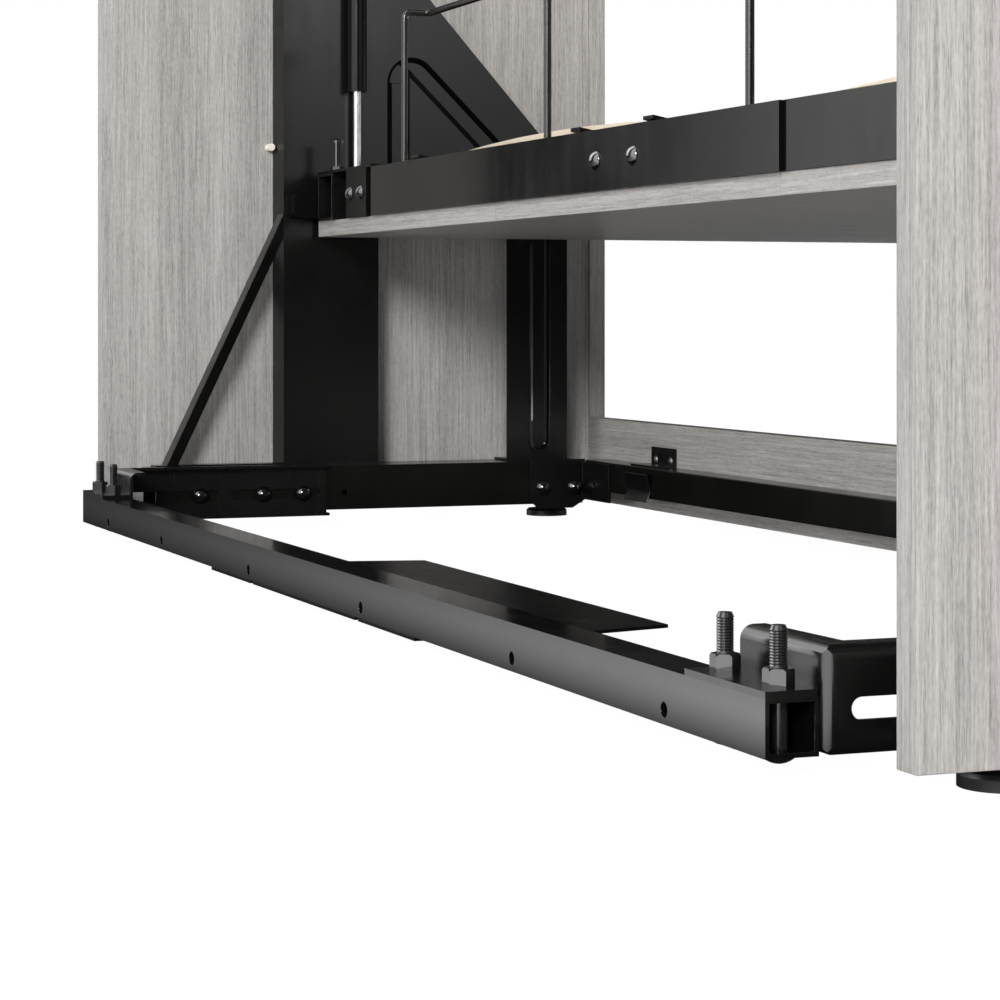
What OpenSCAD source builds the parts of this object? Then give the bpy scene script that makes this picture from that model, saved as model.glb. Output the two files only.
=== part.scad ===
// Murphy wall bed: cabinet, steel mechanism and a slatted bed deck that folds up into the cabinet.
// Units are millimetres. +Z is up, the wall is towards +Y and the bed opens towards -Y.
// Depths written as "d" are measured out from the wall plane, heights as "z" up from the floor.
// The bed is drawn open, standing on its folding legs.

/* [Cabinet] */
// Half of the clear width between the side panels
inner_half = 863; // [840:1:900]
// Thickness of every wooden panel
panel_t = 19; // [16:1:19]
// Overall height of the cabinet
cabinet_h = 2273; // [2270:1:2320]
// Gap between the wall plane and the panels' rear edges
panel_back = 35; // [34:1:40]
// Depth of the cabinet's front face from the wall plane
front_face = 625; // [624:1:630]
// Height of the panels' lower edges above the floor
panel_foot = 15; // [14:1:20]
// Width of the lipping strips inside the side panels' front edges
stile_w = 6; // [4:1:10]
// Top of the toe rail
toe_top = 110; // [90:1:110]
// Height of the header rail above the closed bed
header_h = 50; // [30:1:50]
// Height of the wall cleat under the top panel
cleat_h = 120; // [80:1:160]

/* [Base frame] */
// Outer size of the square rear floor tube
tube_s = 30; // [30:1:30]
// Half of the rear floor tube's length
tube_half = 795; // [785:1:796]
// Underside of the rear floor tube above the floor
tube_z = 11; // [11:1:13]
// Radius of the wall screw holes
wall_hole_r = 4.3; // [3:0.1:5]
// Inner face of the side beams
beam_in = 801; // [801:1:801]
// Width of the side beams
beam_w = 60; // [50:1:60]
// Underside of the side beams
beam_z = 16; // [16:1:16]
// Height of the side beams
beam_h = 48; // [48:1:48]
// Wall thickness of the tubes
tube_t = 2.5; // [2:0.1:3]
// Diameter of the levelling glides
glide_d = 46; // [30:1:50]

/* [Side plates] */
// Inner face of the stamped side plates
plate_in = 820; // [820:1:822]
// Sheet thickness of the side plates
plate_t = 2.5; // [2:0.1:3]
// Top of the rear post
post_top = 940; // [920:5:1000]
// Width of the pressed bead
bead_w = 25; // [15:1:26]
// Depth of the pressed bead
bead_depth = 2; // [1:0.1:2.3]

/* [Bed] */
// Half of the face panel's width
face_half = 808; // [806:1:809]
// Thickness of the face boards
face_t = 17; // [16:1:18]
// Depth of the boards' head end from the wall plane
head_d = 263; // [262:1:266]
// Length of the face boards
deck_len = 2079; // [2070:1:2080]
// Height of the face boards' lower surface
face_z = 314; // [314:1:316]
// Outer face of the bed's side rails
rail_out = 794; // [790:1:794]
// Width of the side rails
rail_w = 51; // [40:1:51]
// Height of the bed rails
rail_h = 50; // [50:1:50]
// Number of slats in each column
slat_n = 14; // [8:1:16]
// Rise of the bowed slats
slat_bow = 12; // [10:1:16]
// Width of a slat
slat_w = 53; // [40:1:70]
// Wire diameter of the mattress stop
wire_d = 7; // [6:0.5:10]
// Top of the mattress stop
stop_top = 538; // [480:1:560]

/* [Pivot and struts] */
// Depth of the bed's pivot axis
pivot_d = 541; // [541:1:541]
// Height of the bed's pivot axis
pivot_z = 397; // [397:1:397]
// Radius of the pivot pins
pivot_r = 8; // [6:0.5:9]
// Depth of the struts' pins with the bed open
strut_d = 307; // [307:1:307]
// Height of the struts' upper pins
strut_top_z = 874; // [860:1:880]
// Height of the struts' lower pins with the bed open
strut_low_z = 356; // [356:1:356]
// Height of the cylinders' lower ends
strut_cyl_z = 474; // [460:1:490]
// Radius of the strut cylinders
strut_r = 10.5; // [9:0.5:10.5]
// Radius of the strut rods
rod_r = 4.5; // [3:0.5:5]
// Distance from the middle of the bed to each strut's axis
strut_x = 806.5; // [806.5:0.1:807]

/* [Legs] */
// Distance from the middle of the bed to each leg
leg_x = 640; // [600:5:680]
// Width of the legs
leg_w = 40; // [30:1:50]
// Thickness of the legs
leg_t = 13; // [12:1:13]
// Depth of the legs' pivot axis
leg_pivot_d = 2330; // [2330:1:2330]
// Height of the legs' pivot axis
leg_pivot_z = 326; // [326:1:326]

/* [Hidden] */
$fn = 48;
eps = 0.01;
running = 0.05;                      // radial clearance of the turning fits
outer_half = inner_half + panel_t;
foot_d = head_d + deck_len;          // depth of the boards' foot end
y_wall = foot_d / 2;                 // the wall plane, so that the origin is mid-length
rail_z = face_z + face_t;            // underside of the bed rails
rail_top = rail_z + rail_h;
head_steel = head_d - 5;             // depth of the head rail's rear face
beam_top = beam_z + beam_h;
tube_top = tube_z + tube_s;
header_z = cabinet_h - panel_t - header_h;
tab_t = 3.6;                         // bracket tab on the rear tube
stud_x = [719, 780];
stud_r = 4.75;
stud_up = 31;
stud_nut = [14.3, 9.5];              // across flats, height
wall_hole_x = [150, 450, 675];
wall_hole_z = tube_z + 8;
cleat_hole_x = [200, 600];
cleat_hole_r = 3;
sheet = 3;                           // thickness of the folded brackets
bracket_end = 269;
bracket_z = [11, 67];
bracket_flange = 15;
bracket_len = 95;
slot_r = 5.75;
slot_z = beam_z + 18.7;
slot_ends = [[50.75, 143.25], [168.75, 256.25]];
beam_bolt_d = [128, 198, 243];
dome_r = 8.75;
dome_h = 6;
bolt_r = 4.75;
beam_end = [80, 573];
glide_x = 845;
glide_d_pos = [105, 547];
glide_h = 8;
post_d = [227, 336];
leg_col_d = [489, 562];
window_top = 331;
gusset_top = 648;
front_bar_d = [575, 605];
front_bar_z = [32, 65];
rail_in = rail_out - rail_w;
cross_d = [600, 1100, 1600];         // cross bearers under the slats
cross_s = [40, 25];
centre_half = 15;
slat_t = 8;
slat_first = 404;
slat_last = 2232;
slat_seat = rail_top + 6.5;          // height at which the slats' ends sit
slat_x = [67, 766];
holder_x = [97, 735, 771];           // the centre holders' ends, then the outer holders
foot_rail_d = [2270, 2320];
stop_d = 287;                        // depth of the mattress stop's uprights

// A box between two x, two depths from the wall and two heights.
module block(x, d, z) {
  translate([x[0], y_wall - d[1], z[0]]) cube([x[1] - x[0], d[1] - d[0], z[1] - z[0]]);
}

// Round bars along X, along the depth and upright.
module bar_x(x, d, z, r) {
  translate([x[0], y_wall - d, z]) rotate([0, 90, 0]) cylinder(h = x[1] - x[0], r = r);
}
module bar_d(x, d, z, r) {
  translate([x, y_wall - d[0], z]) rotate([90, 0, 0]) cylinder(h = d[1] - d[0], r = r);
}
module bar_z(x, d, z, r) {
  translate([x, y_wall - d, z[0]]) cylinder(h = z[1] - z[0], r = r);
}

// A sheet in a side view: its children are drawn as (depth, height).
module side_sheet(x) {
  translate([x[0], y_wall, 0]) rotate([90, 0, 90]) linear_extrude(x[1] - x[0]) mirror([1, 0]) children();
}

// A sheet in plan: its children are drawn as (x, depth).
module plan_sheet(z) {
  translate([0, y_wall, z[0]]) linear_extrude(z[1] - z[0]) mirror([0, 1]) children();
}

// Parts are drawn for the right side, at +X, and mirrored for the left.
module on(side) {
  if (side > 0) children();
  else mirror([1, 0, 0]) children();
}
module both() {
  on(1) children();
  on(-1) children();
}

// A rectangular tube's wall, open at both ends, along X or along the depth.
module tube_x(x, d, z, t) {
  difference() {
    block(x, d, z);
    block([x[0] - 1, x[1] + 1], [d[0] + t, d[1] - t], [z[0] + t, z[1] - t]);
  }
}
module tube_d(x, d, z, t) {
  difference() {
    block(x, d, z);
    block([x[0] + t, x[1] - t], [d[0] - 1, d[1] + 1], [z[0] + t, z[1] - t]);
  }
}

// A domed head with its flat at the origin, rising along +Z.
module dome(r, h) {
  ball = (r * r + h * h) / (2 * h);
  intersection() {
    translate([0, 0, h - ball]) sphere(r = ball);
    cylinder(h = h, r = r);
  }
}

// A slot in a side view between two depths.
module slot_2d(d, z, r) {
  translate([d[0], z]) circle(r);
  translate([d[1], z]) circle(r);
  translate([d[0], z - r]) square([d[1] - d[0], 2 * r]);
}

// ---------------------------------------------------------------- cabinet woodwork
module side_panel(side) {
  color("#a9a5a1") on(side) difference() {
    block([inner_half, outer_half], [panel_back, front_face], [panel_foot, cabinet_h]);
    bar_x([inner_half - 1, inner_half + 12], dowel_d, dowel_z, dowel_r);
  }
}

dowel_d = 222;
dowel_z = 414;
dowel_r = 4;
module panel_dowels() {
  color("#efe6d2") both() bar_x([inner_half - 13, inner_half + 12], dowel_d, dowel_z, dowel_r);
}

module top_panel() {
  color("#a9a5a1")
    block([-inner_half, inner_half], [panel_back, front_face], [cabinet_h - panel_t, cabinet_h]);
}

module toe_rail() {
  near = front_face - panel_t;
  color("#a9a5a1") difference() {
    block([-inner_half, inner_half], [near, front_face], [panel_foot, toe_top]);
    both() for (x = toe_screw_x) bar_d(x, [near - 1, front_face - 4], toe_screw_z, 2.5);
  }
}

module stile(side) {
  color("#a9a5a1") on(side)
    block([inner_half - stile_w, inner_half], [front_face - panel_t, front_face],
      [toe_top, cabinet_h - panel_t]);
}

module header_rail() {
  half = inner_half - stile_w;
  color("#a9a5a1") block([-half, half], [front_face - panel_t, front_face], [header_z, cabinet_h - panel_t]);
}

module wall_cleat() {
  top = cabinet_h - panel_t;
  color("#a9a5a1") difference() {
    block([-inner_half, inner_half], [panel_back, panel_back + panel_t], [top - cleat_h, top]);
    for (x = cleat_hole_x) both()
      bar_d(x, [panel_back - 1, panel_back + panel_t + 1], top - cleat_h / 2, cleat_hole_r);
  }
}

// ---------------------------------------------------------------- base frame
module rear_floor_tube() {
  color("#2b2b2b") difference() {
    tube_x([-tube_half, tube_half], [0, tube_s], [tube_z, tube_top], tube_t);
    for (x = wall_hole_x) both() bar_d(x, [-1, tube_s + 1], wall_hole_z, wall_hole_r);
    for (x = stud_x) both() bar_z(x, tube_s / 2, [tube_z - 1, tube_top + 1], stud_r + 0.2);
  }
}

floor_plate_t = 2.5;
floor_screw = [126, 110];
module floor_plate() {
  color("#242424") difference() {
    plan_sheet([tube_z - floor_plate_t, tube_z])
      polygon([[-268, 0], [268, 0], [276, 128], [260, 193], [-260, 193], [-276, 128]]);
    both() block([136, 144], [-1, 8], [tube_z - 4, tube_z + 1]);
    both() bar_z(floor_screw[0], floor_screw[1], [tube_z - 4, tube_z + 1], 2.5);
  }
}

module floor_plate_screws() {
  color("#1c1c1c") both() {
    bar_z(floor_screw[0], floor_screw[1], [tube_z - floor_plate_t - 3, tube_z], 2.5);
    translate([floor_screw[0], y_wall - floor_screw[1], tube_z]) dome(5, 2.5);
  }
}

// Cuts a quarter-round of radius r along the edge where two faces meet, drawn at the 2D origin.
module round_cut(r) {
  difference() {
    square([r + 1, r + 1]);
    circle(r);
  }
}

// The folded corner bracket that ties the side beam to the rear tube; its slots set the depth.
module slide_bracket(side) {
  bend = 8;
  zs = bracket_z;
  out = beam_in;
  in = out - bracket_len;
  flange_in = out - bracket_flange;
  back = tube_s;
  color("#262626") on(side) difference() {
    union() {
      difference() {
        plan_sheet(zs) polygon([[in, back], [out, back], [out, bracket_end], [flange_in, bracket_end],
          [flange_in, back + 18], [in, back + bracket_flange]]);
        block([in - 1, out - sheet], [back + sheet, bracket_end + 1], [zs[0] + sheet, zs[1] - sheet]);
      }
      block([in - 5, tube_half], [0, back + sheet / 2], [tube_top, tube_top + tab_t]);
    }
    // rounded folds: upright corner, then the long and the short edges
    translate([out - bend, y_wall - back - bend, zs[0] - 1]) linear_extrude(zs[1] - zs[0] + 2)
      round_cut(bend);
    for (top = [0, 1]) {
      translate([out - bend, y_wall, top ? zs[1] - bend : zs[0] + bend]) mirror([0, 0, top ? 0 : 1])
        rotate([90, 0, 0]) linear_extrude(bracket_end + 1) round_cut(bend);
      translate([0, y_wall - back - bend, top ? zs[1] - bend : zs[0] + bend]) mirror([0, 0, top ? 0 : 1])
        rotate([90, 0, 90]) translate([0, 0, in - 1]) linear_extrude(bracket_len + 2) round_cut(bend);
    }
    side_sheet([out - sheet - 1, out + 1]) for (s = slot_ends) slot_2d(s, slot_z, slot_r);
    for (x = stud_x) bar_z(x, tube_s / 2, [tube_top - 1, tube_top + tab_t + 1], stud_r + 0.2);
  }
}

// Carriage bolts that stand up through the tube and the bracket tabs, with rolled threads.
module tube_studs() {
  pitch = 1.5;
  top = tube_top + tab_t + stud_up;
  first = tube_top + tab_t + stud_nut[1] + 1;
  turns = floor((top - 2 - first) / pitch);
  color("#2a2a2a") both() for (x = stud_x) {
    bar_z(x, tube_s / 2, [tube_z, first], stud_r);
    translate([x, y_wall - tube_s / 2, 0]) {
      for (i = [0 : turns - 1]) translate([0, 0, first + i * pitch]) {
        cylinder(h = pitch / 2, r1 = stud_r, r2 = stud_r - 0.6);
        translate([0, 0, pitch / 2]) cylinder(h = pitch / 2, r1 = stud_r - 0.6, r2 = stud_r);
      }
      tip = first + turns * pitch;
      translate([0, 0, tip]) cylinder(h = top - tip, r1 = stud_r, r2 = 3.6);
      translate([0, 0, tube_z]) mirror([0, 0, 1]) dome(10, 5);
    }
  }
}

module stud_nuts() {
  af = stud_nut[0];
  h = stud_nut[1];
  color("#303030") both() for (x = stud_x)
    translate([x, y_wall - tube_s / 2, tube_top + tab_t]) difference() {
      intersection() {
        cylinder(h = h, r = af / sqrt(3), $fn = 6);
        translate([0, 0, -eps]) cylinder(h = h + 2 * eps, r1 = af / 2 + 6, r2 = af / 2 + 0.4);
      }
      translate([0, 0, -1]) cylinder(h = h + 2, r = stud_r);
    }
}

module side_beam(side) {
  x = [beam_in, beam_in + beam_w];
  color("#262626") on(side) difference() {
    tube_d(x, beam_end, [beam_z, beam_top], tube_t);
    for (d = beam_bolt_d) bar_x([beam_in - 1, beam_in + tube_t + 1], d, slot_z, bolt_r + eps);
    bar_x([beam_in - 1, beam_in + tube_t + 1], 291, slot_z, 3);
    for (d = corner_bolt_d) bar_x([beam_in - 1, beam_in + tube_t + 1], d, corner_bolt_z, bolt_r + eps);
    for (d = glide_d_pos) bar_z(glide_x, d, [beam_z - 1, beam_z + tube_t + 1], 4.2);
  }
}

corner_bolt_d = [525, 563];
corner_bolt_z = 34;
module beam_bolts() {
  module bolt(d, z, face) {
    bar_x([face, beam_in + 14], d, z, bolt_r);
    translate([face, y_wall - d, z]) rotate([0, -90, 0]) dome(dome_r, dome_h);
  }
  color("#1a1a1a") both() {
    for (d = beam_bolt_d) bolt(d, slot_z, beam_in - sheet);
    for (d = corner_bolt_d) bolt(d, corner_bolt_z, beam_in - sheet);
  }
}

module levelling_glides() {
  color("#1d1d1d") both() for (d = glide_d_pos) translate([glide_x, y_wall - d, 0]) {
    cylinder(h = glide_h - 2, r = glide_d / 2);
    translate([0, 0, glide_h - 2]) cylinder(h = 2, r1 = glide_d / 2, r2 = glide_d / 2 - 2);
    cylinder(h = beam_z + 22, r = 4.2);
    cylinder(h = beam_z - 0.5, r = 7, $fn = 6);
  }
}

// ---------------------------------------------------------------- side plates
// The bead runs up the rear edge, turns over a round top and falls at a slope to the front leg.
bead_rear = 359.5;
bead_front = 528;
bead_slope = 44.5;
bead_turn = 16;
bead_peak = 524.6;
module bead_2d(grow) {
  half = bead_w / 2 + grow;
  knee_z = bead_peak - (bead_front - bead_rear) * tan(bead_slope);
  drop = bead_turn / tan((90 - bead_slope) / 2);
  arc_c = [bead_rear + bead_turn, bead_peak - drop];
  run = (bead_front - bead_rear) / cos(bead_slope);
  foot_z = 86;
  low_z = window_top + 16;
  translate([bead_rear - half, low_z]) square([2 * half, arc_c[1] - low_z]);
  translate([bead_rear, low_z]) circle(half);
  // the turn keeps to the outer side of the corner
  difference() {
    translate(arc_c) circle(bead_turn + half);
    translate([bead_rear + half, 0]) square([200, arc_c[1]]);
    translate([bead_rear, bead_peak]) rotate(-bead_slope) translate([0, -200 - half]) square([run, 200]);
  }
  translate([bead_rear, bead_peak]) rotate(-bead_slope)
    translate([drop, -half]) square([run - drop, 2 * half]);
  translate([bead_front, knee_z]) circle(half);
  translate([bead_front - half, foot_z]) square([2 * half, knee_z - foot_z]);
  translate([bead_front, foot_z]) circle(half);
}

module side_plate_2d() {
  r = 12;
  difference() {
    polygon([[post_d[0], beam_top], [leg_col_d[1], beam_top], [leg_col_d[1], pivot_z - 1],
      [post_d[1], gusset_top], [post_d[1], post_top], [post_d[0], post_top]]);
    translate([post_d[1], beam_top - 1]) square([leg_col_d[0] - post_d[1], window_top - r - beam_top + 1]);
    translate([post_d[1] + r, beam_top]) square([leg_col_d[0] - post_d[1] - 2 * r, window_top - beam_top]);
    translate([post_d[1] + r, window_top - r]) circle(r);
    translate([leg_col_d[0] - r, window_top - r]) circle(r);
  }
}

module side_plate(side) {
  in = plate_in;
  web = [in, in + plate_t];
  fold = [in, inner_half];
  t = plate_t;
  color("#3a3a3a") on(side) difference() {
    union() {
      side_sheet(web) side_plate_2d();
      side_sheet([in + plate_t - eps, in + plate_t + bead_depth]) bead_2d(2);
      block(fold, [post_d[0], post_d[0] + t], [beam_top, post_top]);
      block(fold, [post_d[1] - t, post_d[1]], [beam_top, window_top - 12]);
      block(fold, [leg_col_d[1] - t, leg_col_d[1]], [beam_top, pivot_z - 1]);
      block([in, beam_in + beam_w], post_d, [beam_top, beam_top + t]);
      block([in, beam_in + beam_w], leg_col_d, [beam_top, beam_top + t]);
      block(fold, post_d, [post_top - t, post_top]);
      bar_x([in + plate_t - eps, in + plate_t + 6], pivot_d, pivot_z, 19);
      bar_x([in + plate_t - eps, in + plate_t + 6], strut_d, strut_top_z, 14);
    }
    side_sheet([in - 1, in + bead_depth]) bead_2d(0);
    bar_x([in - 1, in + plate_t + 7], pivot_d, pivot_z, bush_r);
    bar_x([in - 1, in + plate_t + 7], strut_d, strut_top_z, anchor_r);
  }
}

bush_r = 11;
anchor_r = 5;
module pivot_bushes() {
  color("#8a7a45") both() difference() {
    union() {
      bar_x([plate_in, plate_in + plate_t + 6], pivot_d, pivot_z, bush_r);
      bar_x([plate_in - 2.5, plate_in], pivot_d, pivot_z, bush_r + 4);
    }
    bar_x([plate_in - 4, plate_in + 10], pivot_d, pivot_z, pivot_r + running);
  }
}

// A slanted angle bar with its foot strip on the beam.
module brace(side) {
  low = [96, beam_top + sheet];
  high = [post_d[0], beam_top + 276];
  wide = 13;
  rise = (high[1] - low[1]) / (high[0] - low[0]);
  module strip(w) {
    polygon([low, [low[0] + w, low[1]], [high[0], high[1] - w * rise], high]);
  }
  color("#2a2a2a") on(side) {
    block([plate_in, plate_in + 22], [84, post_d[0]], [beam_top, beam_top + sheet]);
    side_sheet([plate_in, plate_in + 22]) strip(3);
    side_sheet([plate_in, plate_in + 3]) strip(wide);
  }
}

// ---------------------------------------------------------------- front of the base
module front_bar() {
  color("#2b2b2b") tube_x([-(beam_in - sheet), beam_in - sheet], front_bar_d, front_bar_z, tube_t);
}

corner_arm = [724, 765];             // the arm's inner end and its hole
module corner_brackets() {
  zs = [11, beam_top + 2];
  near = front_bar_d[0];
  low = front_bar_z[0];
  color("#262626") both() difference() {
    union() {
      side_sheet([beam_in - sheet, beam_in])
        polygon([[509, zs[1]], [near, zs[1]], [near, 20], [560, zs[0]], [518, zs[0]], [509, 20]]);
      block([corner_arm[0], beam_in], [near - sheet, near], [20.5, front_bar_z[1] - 2]);
      block([beam_in - 27, beam_in - sheet], [near - sheet, front_bar_d[1] - 6], [low - sheet, low]);
    }
    for (d = corner_bolt_d) bar_x([beam_in - 5, beam_in + 1], d, corner_bolt_z, bolt_r + eps);
    bar_d(corner_arm[1], [near - 4, near + 1], 37, 3.5);
  }
}

toe_bracket_x = [618, 680];
toe_screw_x = [630, 668];
toe_screw_z = 71.6;
module toe_brackets() {
  color("#262626") both() difference() {
    union() {
      block(toe_bracket_x, [front_bar_d[0] + 4, front_face - panel_t], [front_bar_z[1], front_bar_z[1] + 2]);
      block(toe_bracket_x, [front_face - panel_t - 2, front_face - panel_t], [front_bar_z[1], 85]);
    }
    for (x = toe_screw_x) bar_d(x, [600, 607], toe_screw_z, 2.5);
  }
}

// A spring clip on the front bar's rear face; its two leaves flare away from the bar.
module bar_clips() {
  back = front_bar_d[0];
  color("#303030") both() side_sheet([617, 677])
    polygon([[back - 4.3, 58.5], [back, 42], [back, 38], [back - 4, 28], [back - 5.5, 28.5],
      [back - 1.6, 38.3], [back - 1.6, 41.7], [back - 5.8, 58]]);
}

module bracket_screws() {
  color("#101010") both() for (x = toe_screw_x) {
    bar_d(x, [front_face - panel_t - 2, front_face - 4], toe_screw_z, 2.5);
    translate([x, y_wall - front_face + panel_t + 2, toe_screw_z]) rotate([-90, 0, 0]) dome(4.5, 2);
  }
}

// Rubber blocks on the posts beside the bed's head end.
module bump_stops() {
  r = 6;
  d = [233, 264];
  z = [334, 361];
  color("#0c0c0c") both() side_sheet([plate_in - 20, plate_in]) {
    translate([d[0] + r, z[0]]) square([d[1] - d[0] - 2 * r, z[1] - z[0]]);
    translate([d[0], z[0] + r]) square([d[1] - d[0], z[1] - z[0] - 2 * r]);
    for (a = [d[0] + r, d[1] - r]) for (b = [z[0] + r, z[1] - r]) translate([a, b]) circle(r);
  }
}

// ---------------------------------------------------------------- struts
strut_eye_r = 9;
strut_eye = [strut_x - 8, strut_x + 8];
module strut_anchor_pins() {
  color("#1a1a1a") both() {
    bar_x([strut_eye[0] - 2.5, plate_in + plate_t + 6], strut_d, strut_top_z, anchor_r);
    bar_x([strut_eye[0] - 5.5, strut_eye[0] - 2.5], strut_d, strut_top_z, 8);
  }
}

bore_r = 8.5;
module strut_cylinder(side) {
  neck = strut_top_z - 22;
  color("#161616") on(side) difference() {
    union() {
      bar_z(strut_x, strut_d, [strut_cyl_z, neck], strut_r);
      bar_z(strut_x, strut_d, [neck, strut_top_z], 6);
      bar_x(strut_eye, strut_d, strut_top_z, strut_eye_r);
    }
    bar_z(strut_x, strut_d, [strut_cyl_z + 12, neck - 8], bore_r);
    bar_z(strut_x, strut_d, [strut_cyl_z - 1, strut_cyl_z + 13], rod_r + running);
    bar_x([strut_eye[0] - 1, strut_eye[1] + 1], strut_d, strut_top_z, anchor_r + running);
  }
}

piston_z = 770;
module strut_rod(side) {
  color("#d8d8da") on(side) {
    bar_z(strut_x, strut_d, [strut_low_z, piston_z], rod_r);
    bar_z(strut_x, strut_d, [piston_z - 12, piston_z], bore_r - running);
    bar_x(strut_eye, strut_d, strut_low_z, strut_eye_r);
    bar_z(strut_x, strut_d, [strut_low_z, strut_low_z + 20], 6);
  }
}

// ---------------------------------------------------------------- bed deck
seam_x = [-296, 267];
seam_gap = 0.5;
slot_clear = 3;
module face_board(x, notch) {
  color("#b3aeaa") difference() {
    block(x, [head_d, foot_d], [face_z, rail_z]);
    if (notch != 0) {
      half = leg_w / 2 + slot_clear;
      block([notch - half, notch + half], [leg_pivot_d - leg_pivot_z - 8, foot_d + 1],
        [face_z - 1, rail_z + 1]);
    }
  }
}

module bed_rail(side) {
  color("#262626") on(side) difference() {
    tube_d([rail_in, rail_out], [head_steel, foot_rail_d[1]], [rail_z, rail_top], tube_t);
    bar_z(rail_out - 26, head_steel + 14, [rail_top - tube_t - 1, rail_top + 1], 4.2);
    bar_x([rail_out - tube_t - 1, rail_out + 1], strut_d, strut_low_z, 5);
  }
}

// A tab lanced from the head rail's top flange, with its end towards the wall lifted off it.
tab_x = [74, 481];
tab_w = 20;
module lifted_tab(x) {
  lift_d = head_steel + 3;
  top = rail_top;
  side_sheet([x - tab_w / 2, x + tab_w / 2])
    polygon([[lift_d, top + 2], [lift_d, top + 5], [lift_d + 18, top + 1.5], [lift_d + 22, top],
      [lift_d + 22, top - 1], [lift_d + 13, top - 1], [lift_d + 11, top]]);
}

// The head rail is two lapped channels; the right one's web covers the joint.
rail_flange_end = stop_d - wire_d / 2;
lap = [-304, 60];
head_rail_end = 610;
head_bolt_x = [-50, 25];
head_bolt_z = rail_z + rail_h / 2;
module head_bolt_holes() {
  for (x = head_bolt_x) bar_d(x, [head_steel - 1, head_steel + 2 * sheet + 1], head_bolt_z, bolt_r + eps);
}
module head_rail_right() {
  color("#262626") difference() {
    union() {
      block([lap[0], head_rail_end], [head_steel, head_steel + sheet], [rail_z, rail_top]);
      for (z = [rail_z, rail_top - sheet])
        block([lap[1], head_rail_end], [head_steel, rail_flange_end], [z, z + sheet]);
      for (x = tab_x) lifted_tab(x);
    }
    head_bolt_holes();
  }
}

module head_rail_left() {
  near = head_steel + sheet;
  color("#262626") difference() {
    union() {
      block([-head_rail_end, lap[1]], [near, near + sheet], [rail_z, rail_top]);
      for (z = [rail_z, rail_top - sheet])
        block([-head_rail_end, lap[1]], [near, rail_flange_end], [z, z + sheet]);
      for (x = tab_x) lifted_tab(-x);
    }
    head_bolt_holes();
  }
}

module foot_rail() {
  color("#262626") tube_x([-rail_in, rail_in], foot_rail_d, [rail_z, rail_top], tube_t);
}

module centre_rail() {
  color("#262626") tube_d([-centre_half, centre_half], [head_steel + 28, foot_rail_d[0]],
    [rail_z + cross_s[1], rail_top], tube_t);
}

module cross_bearers() {
  half = cross_s[0] / 2;
  color("#262626") for (d = cross_d)
    tube_x([-rail_in, rail_in], [d - half, d + half], [rail_z, rail_z + cross_s[1]], tube_t);
}

// Folded plates that tie the head rail to the side rails.
corner_bolt_x = [646, 681];
module head_corner_brackets() {
  back = head_steel;
  color("#262626") both() difference() {
    union() {
      block([head_rail_end, rail_out], [back, back + 42], [rail_top, rail_top + sheet]);
      block([629, 693], [back, back + sheet], [rail_z, rail_top]);
      block([head_rail_end, 629], [back + 6, back + 6 + sheet], [rail_z, rail_top]);
      block([629 - sheet, 629], [back, back + 9], [rail_z, rail_top]);
      block([693 - sheet, 693], [back, back + 40], [rail_z, rail_top]);
      block([693 - sheet, rail_in], [back + 37, back + 40], [rail_z, rail_top]);
    }
    bar_z(rail_out - 26, back + 14, [rail_top - 1, rail_top + sheet + 1], 4.2);
    for (x = corner_bolt_x) bar_d(x, [back - 1, back + sheet + 1], head_bolt_z, bolt_r + eps);
  }
}

module rail_bolts() {
  module bolt(x, face) {
    bar_d(x, [face, face + 14], head_bolt_z, bolt_r);
    translate([x, y_wall - face, head_bolt_z]) rotate([-90, 0, 0]) dome(8, 5);
  }
  color("#141414") {
    for (x = head_bolt_x) bolt(x, head_steel);
    both() for (x = corner_bolt_x) bolt(x, head_steel);
  }
}

module adjusting_screws() {
  x = rail_out - 26;
  d = head_steel + 14;
  top = rail_top + 35;
  color("#141414") both() {
    bar_z(x, d, [rail_z + 6, top], 3.5);
    translate([x, y_wall - d, top - 1]) dome(7, 5);
    translate([x, y_wall - d, rail_top + sheet]) cylinder(h = 5, r = 7.5, $fn = 6);
  }
}

// Upright hinge plates on the side rails.
module pivot_brackets() {
  x = [rail_out - 6, rail_out];
  color("#2a2a2a") both() difference() {
    union() {
      block([rail_out - 22, rail_out], [pivot_d - 50, pivot_d + 50], [rail_top, rail_top + 4]);
      side_sheet(x) {
        translate([pivot_d, pivot_z]) circle(pivot_z - rail_top);
        polygon([[pivot_d - 40, rail_top], [pivot_d + 40, rail_top], [pivot_d + 14, pivot_z + 7],
          [pivot_d - 14, pivot_z + 7]]);
      }
    }
    bar_x([x[0] - 1, x[1] + 1], pivot_d, pivot_z, pivot_r);
  }
}

module pivot_pins() {
  color("#b9b9bc") both() {
    bar_x([rail_out - 6, plate_in + plate_t + 10], pivot_d, pivot_z, pivot_r);
    bar_x([rail_out - 14, rail_out - 6], pivot_d, pivot_z, 11.5, $fn = 6);
    bar_x([rail_out, rail_out + 18], pivot_d, pivot_z, 12);
  }
}

module strut_studs() {
  color("#1a1a1a") both() {
    bar_x([rail_out - 12, rail_out], strut_d, strut_low_z, 5);
    bar_x([rail_out, rail_out + 2.5], strut_d, strut_low_z, 8);
  }
}

// One bowed slat between two x, with its ends at the seat height.
module slat(x, d) {
  span = x[1] - x[0];
  big = (span * span / 4 + slat_bow * slat_bow) / (2 * slat_bow);
  translate([(x[0] + x[1]) / 2, y_wall - d + slat_w / 2, slat_seat + slat_bow - big]) rotate([90, 0, 0])
    linear_extrude(slat_w) intersection() {
      difference() {
        circle(big + slat_t, $fn = 900);
        circle(big, $fn = 900);
      }
      translate([-span / 2, big - slat_bow - 5]) square([span, slat_bow + slat_t + 10]);
    }
}

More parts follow.
